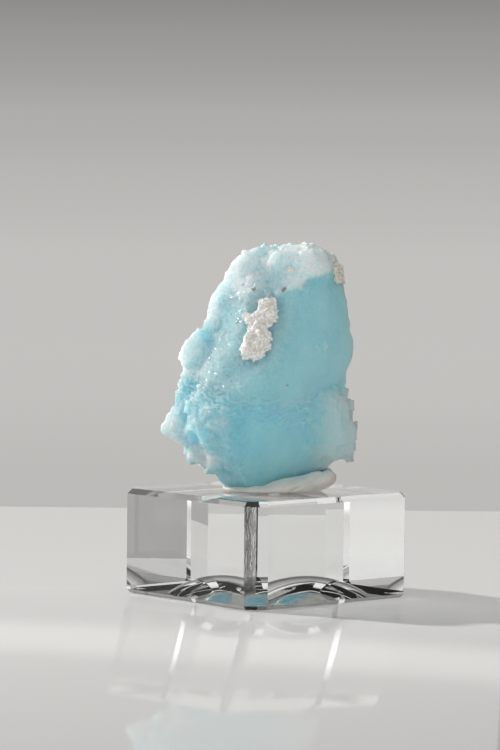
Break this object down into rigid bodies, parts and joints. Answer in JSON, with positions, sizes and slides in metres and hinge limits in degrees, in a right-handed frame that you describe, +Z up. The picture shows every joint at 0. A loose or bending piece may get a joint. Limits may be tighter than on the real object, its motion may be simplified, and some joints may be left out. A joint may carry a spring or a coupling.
{
  "type": "etched aquamarine specimen on a clear display block",
  "caption": "Lumpy etched pale blue beryl crystal with white feldspar grown on it, held upright by a pad of museum putty on a clear square block with cut corners.",
  "frame": {"origin": "centre of the glass block's underside, on the surface that it stands on", "axes": "+Z up through the stone; the block's sides lie along X and Y; the picture is seen along the horizontal direction (0.653, 0.757), with an upright corner of the block towards the viewer"},
  "size_m": [0.0504, 0.0504, 0.0832],
  "materials": {
    "etched_beryl": "frosted, sugary on the lit flank and satin on the shaded face; translucent pale blue, clear beryl inside",
    "white_feldspar": "matt white granular mineral crust",
    "cream_feldspar": "matt cream mineral crust",
    "museum_putty": "matt warm white putty, pressed and folded by hand",
    "clear_glass": "polished clear faces with ground corner cuts"
  },
  "bodies": {
    "root": {"aquamarine_crystal": "etched_beryl", "feldspar_cluster": "white_feldspar", "feldspar_bead": "white_feldspar", "feldspar_edge_patch": "cream_feldspar", "mounting_putty": "museum_putty", "glass_base": "clear_glass"}
  },
  "joints": []
}
